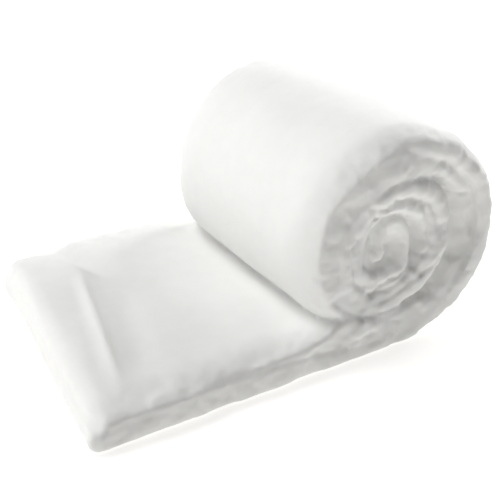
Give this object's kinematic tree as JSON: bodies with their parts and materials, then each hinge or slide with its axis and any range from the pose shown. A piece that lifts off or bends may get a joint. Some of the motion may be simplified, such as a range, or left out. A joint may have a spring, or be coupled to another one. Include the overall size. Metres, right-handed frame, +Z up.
{
  "type": "roll of batting",
  "caption": "Thick white polyester batting, doubled and rolled up into a soft drum, with its loose end laid out flat in front",
  "frame": {"origin": "middle of the footprint, on the surface that the batt lies on", "axes": "+X from the loose end to the drum, +Y from the drum's near face to its far face, +Z up"},
  "size_m": [0.4856, 0.3432, 0.2506],
  "materials": {
    "polyester_fibre": "matt, soft, lofty fibre"
  },
  "bodies": {
    "root": {"batting_roll": "polyester_fibre"}
  },
  "joints": []
}
